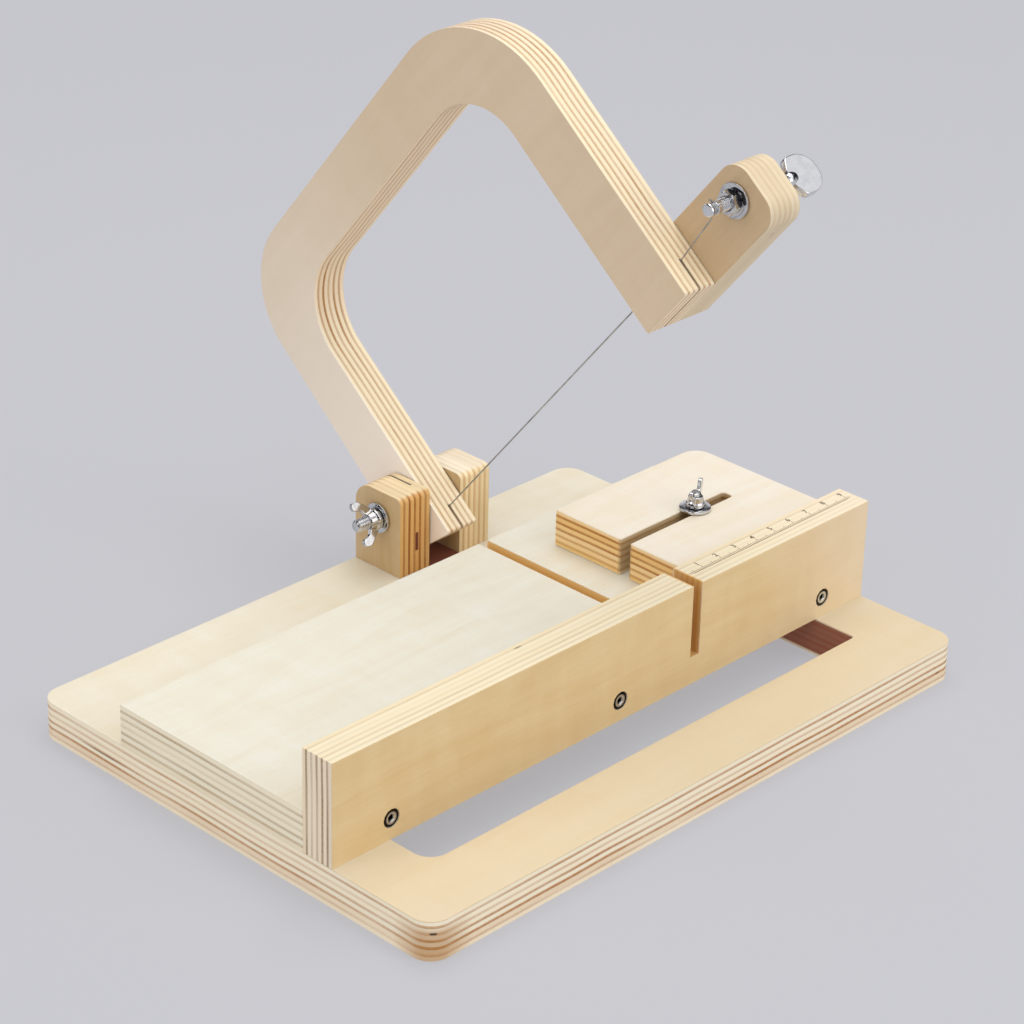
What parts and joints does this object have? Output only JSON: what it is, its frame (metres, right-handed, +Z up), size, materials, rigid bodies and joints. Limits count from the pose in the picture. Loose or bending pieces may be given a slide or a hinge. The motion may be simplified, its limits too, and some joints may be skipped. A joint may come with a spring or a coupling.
{
  "type": "cheese wire cutter",
  "caption": "Plywood wire cutter: a slotted base with deck and fence, a hinged bow arm that carries a tensioned steel wire, and a sliding length stop.",
  "frame": {"origin": "middle of the base's underside, on the surface the cutter stands on", "axes": "+X along the fence towards the length stop, +Y from the front edge back to the pivot, +Z up"},
  "size_m": [0.2715, 0.2687, 0.2327],
  "materials": {
    "birch_plywood": "sanded, with striped ply edges",
    "zinc_plated_steel": "bright zinc plate",
    "dark_steel": "dark screw heads",
    "wire_steel": "drawn stainless wire"
  },
  "bodies": {
    "base": {"base_board": "birch_plywood", "deck_board": "birch_plywood", "fence_board": "birch_plywood", "deck_screw_1": "zinc_plated_steel", "deck_screw_2": "zinc_plated_steel", "deck_screw_3": "zinc_plated_steel", "deck_screw_4": "zinc_plated_steel", "deck_screw_5": "zinc_plated_steel", "deck_screw_6": "zinc_plated_steel", "fence_foot_screw_1": "zinc_plated_steel", "fence_foot_screw_2": "zinc_plated_steel", "fence_side_screw_1": "dark_steel", "fence_side_screw_2": "dark_steel", "fence_side_screw_3": "dark_steel", "pivot_ear_left": "birch_plywood", "pivot_ear_right": "birch_plywood", "ear_screw_1": "zinc_plated_steel", "ear_screw_2": "zinc_plated_steel", "ear_screw_3": "zinc_plated_steel", "ear_screw_4": "zinc_plated_steel", "pivot_bolt": "zinc_plated_steel", "pivot_washer_left": "zinc_plated_steel", "pivot_washer_right": "zinc_plated_steel", "stop_bolt": "zinc_plated_steel", "stop_washer": "zinc_plated_steel"},
    "arm": {"bow_arm": "birch_plywood", "tension_cheek": "birch_plywood", "cheek_screw_1": "zinc_plated_steel", "cheek_screw_2": "zinc_plated_steel", "wire_anchor_screw": "zinc_plated_steel", "wire_anchor_washer": "zinc_plated_steel", "tension_tee_nut": "zinc_plated_steel", "tension_washer": "zinc_plated_steel", "cutting_wire": "wire_steel"},
    "pivot_wing_nut": {"pivot_wing_nut": "zinc_plated_steel"},
    "stop": {"stop_block": "birch_plywood"},
    "stop_wing_nut": {"stop_wing_nut": "zinc_plated_steel"},
    "tension_screw": {"tension_screw": "zinc_plated_steel", "wire_winding": "wire_steel"},
    "lock_nut": {"tension_lock_nut": "zinc_plated_steel"}
  },
  "joints": [
    {"name": "arm_pivot", "type": "hinge", "parent": "base", "child": "arm", "pos_m": [0.041, 0.086, 0.037], "axis": [1, 0, 0], "range_deg": [-30, 50.8]},
    {"name": "stop_slide", "type": "slide", "parent": "base", "child": "stop", "axis": [1, 0, 0], "range_m": [-0.013, 0.03]},
    {"name": "pivot_nut_turn", "type": "hinge", "parent": "base", "child": "pivot_wing_nut", "pos_m": [0.012, 0.086, 0.037], "axis": [1, 0, 0], "continuous": true},
    {"name": "stop_nut_turn", "type": "hinge", "parent": "base", "child": "stop_wing_nut", "pos_m": [0.0963, -0.0024, 0.05], "axis": [0, 0, 1], "continuous": true},
    {"name": "tension_turn", "type": "hinge", "parent": "arm", "child": "tension_screw", "pos_m": [0.041, -0.05303, 0.19718], "axis": [1, 0, 0], "continuous": true},
    {"name": "lock_nut_turn", "type": "hinge", "parent": "arm", "child": "lock_nut", "pos_m": [0.041, -0.05303, 0.19718], "axis": [1, 0, 0], "continuous": true}
  ]
}
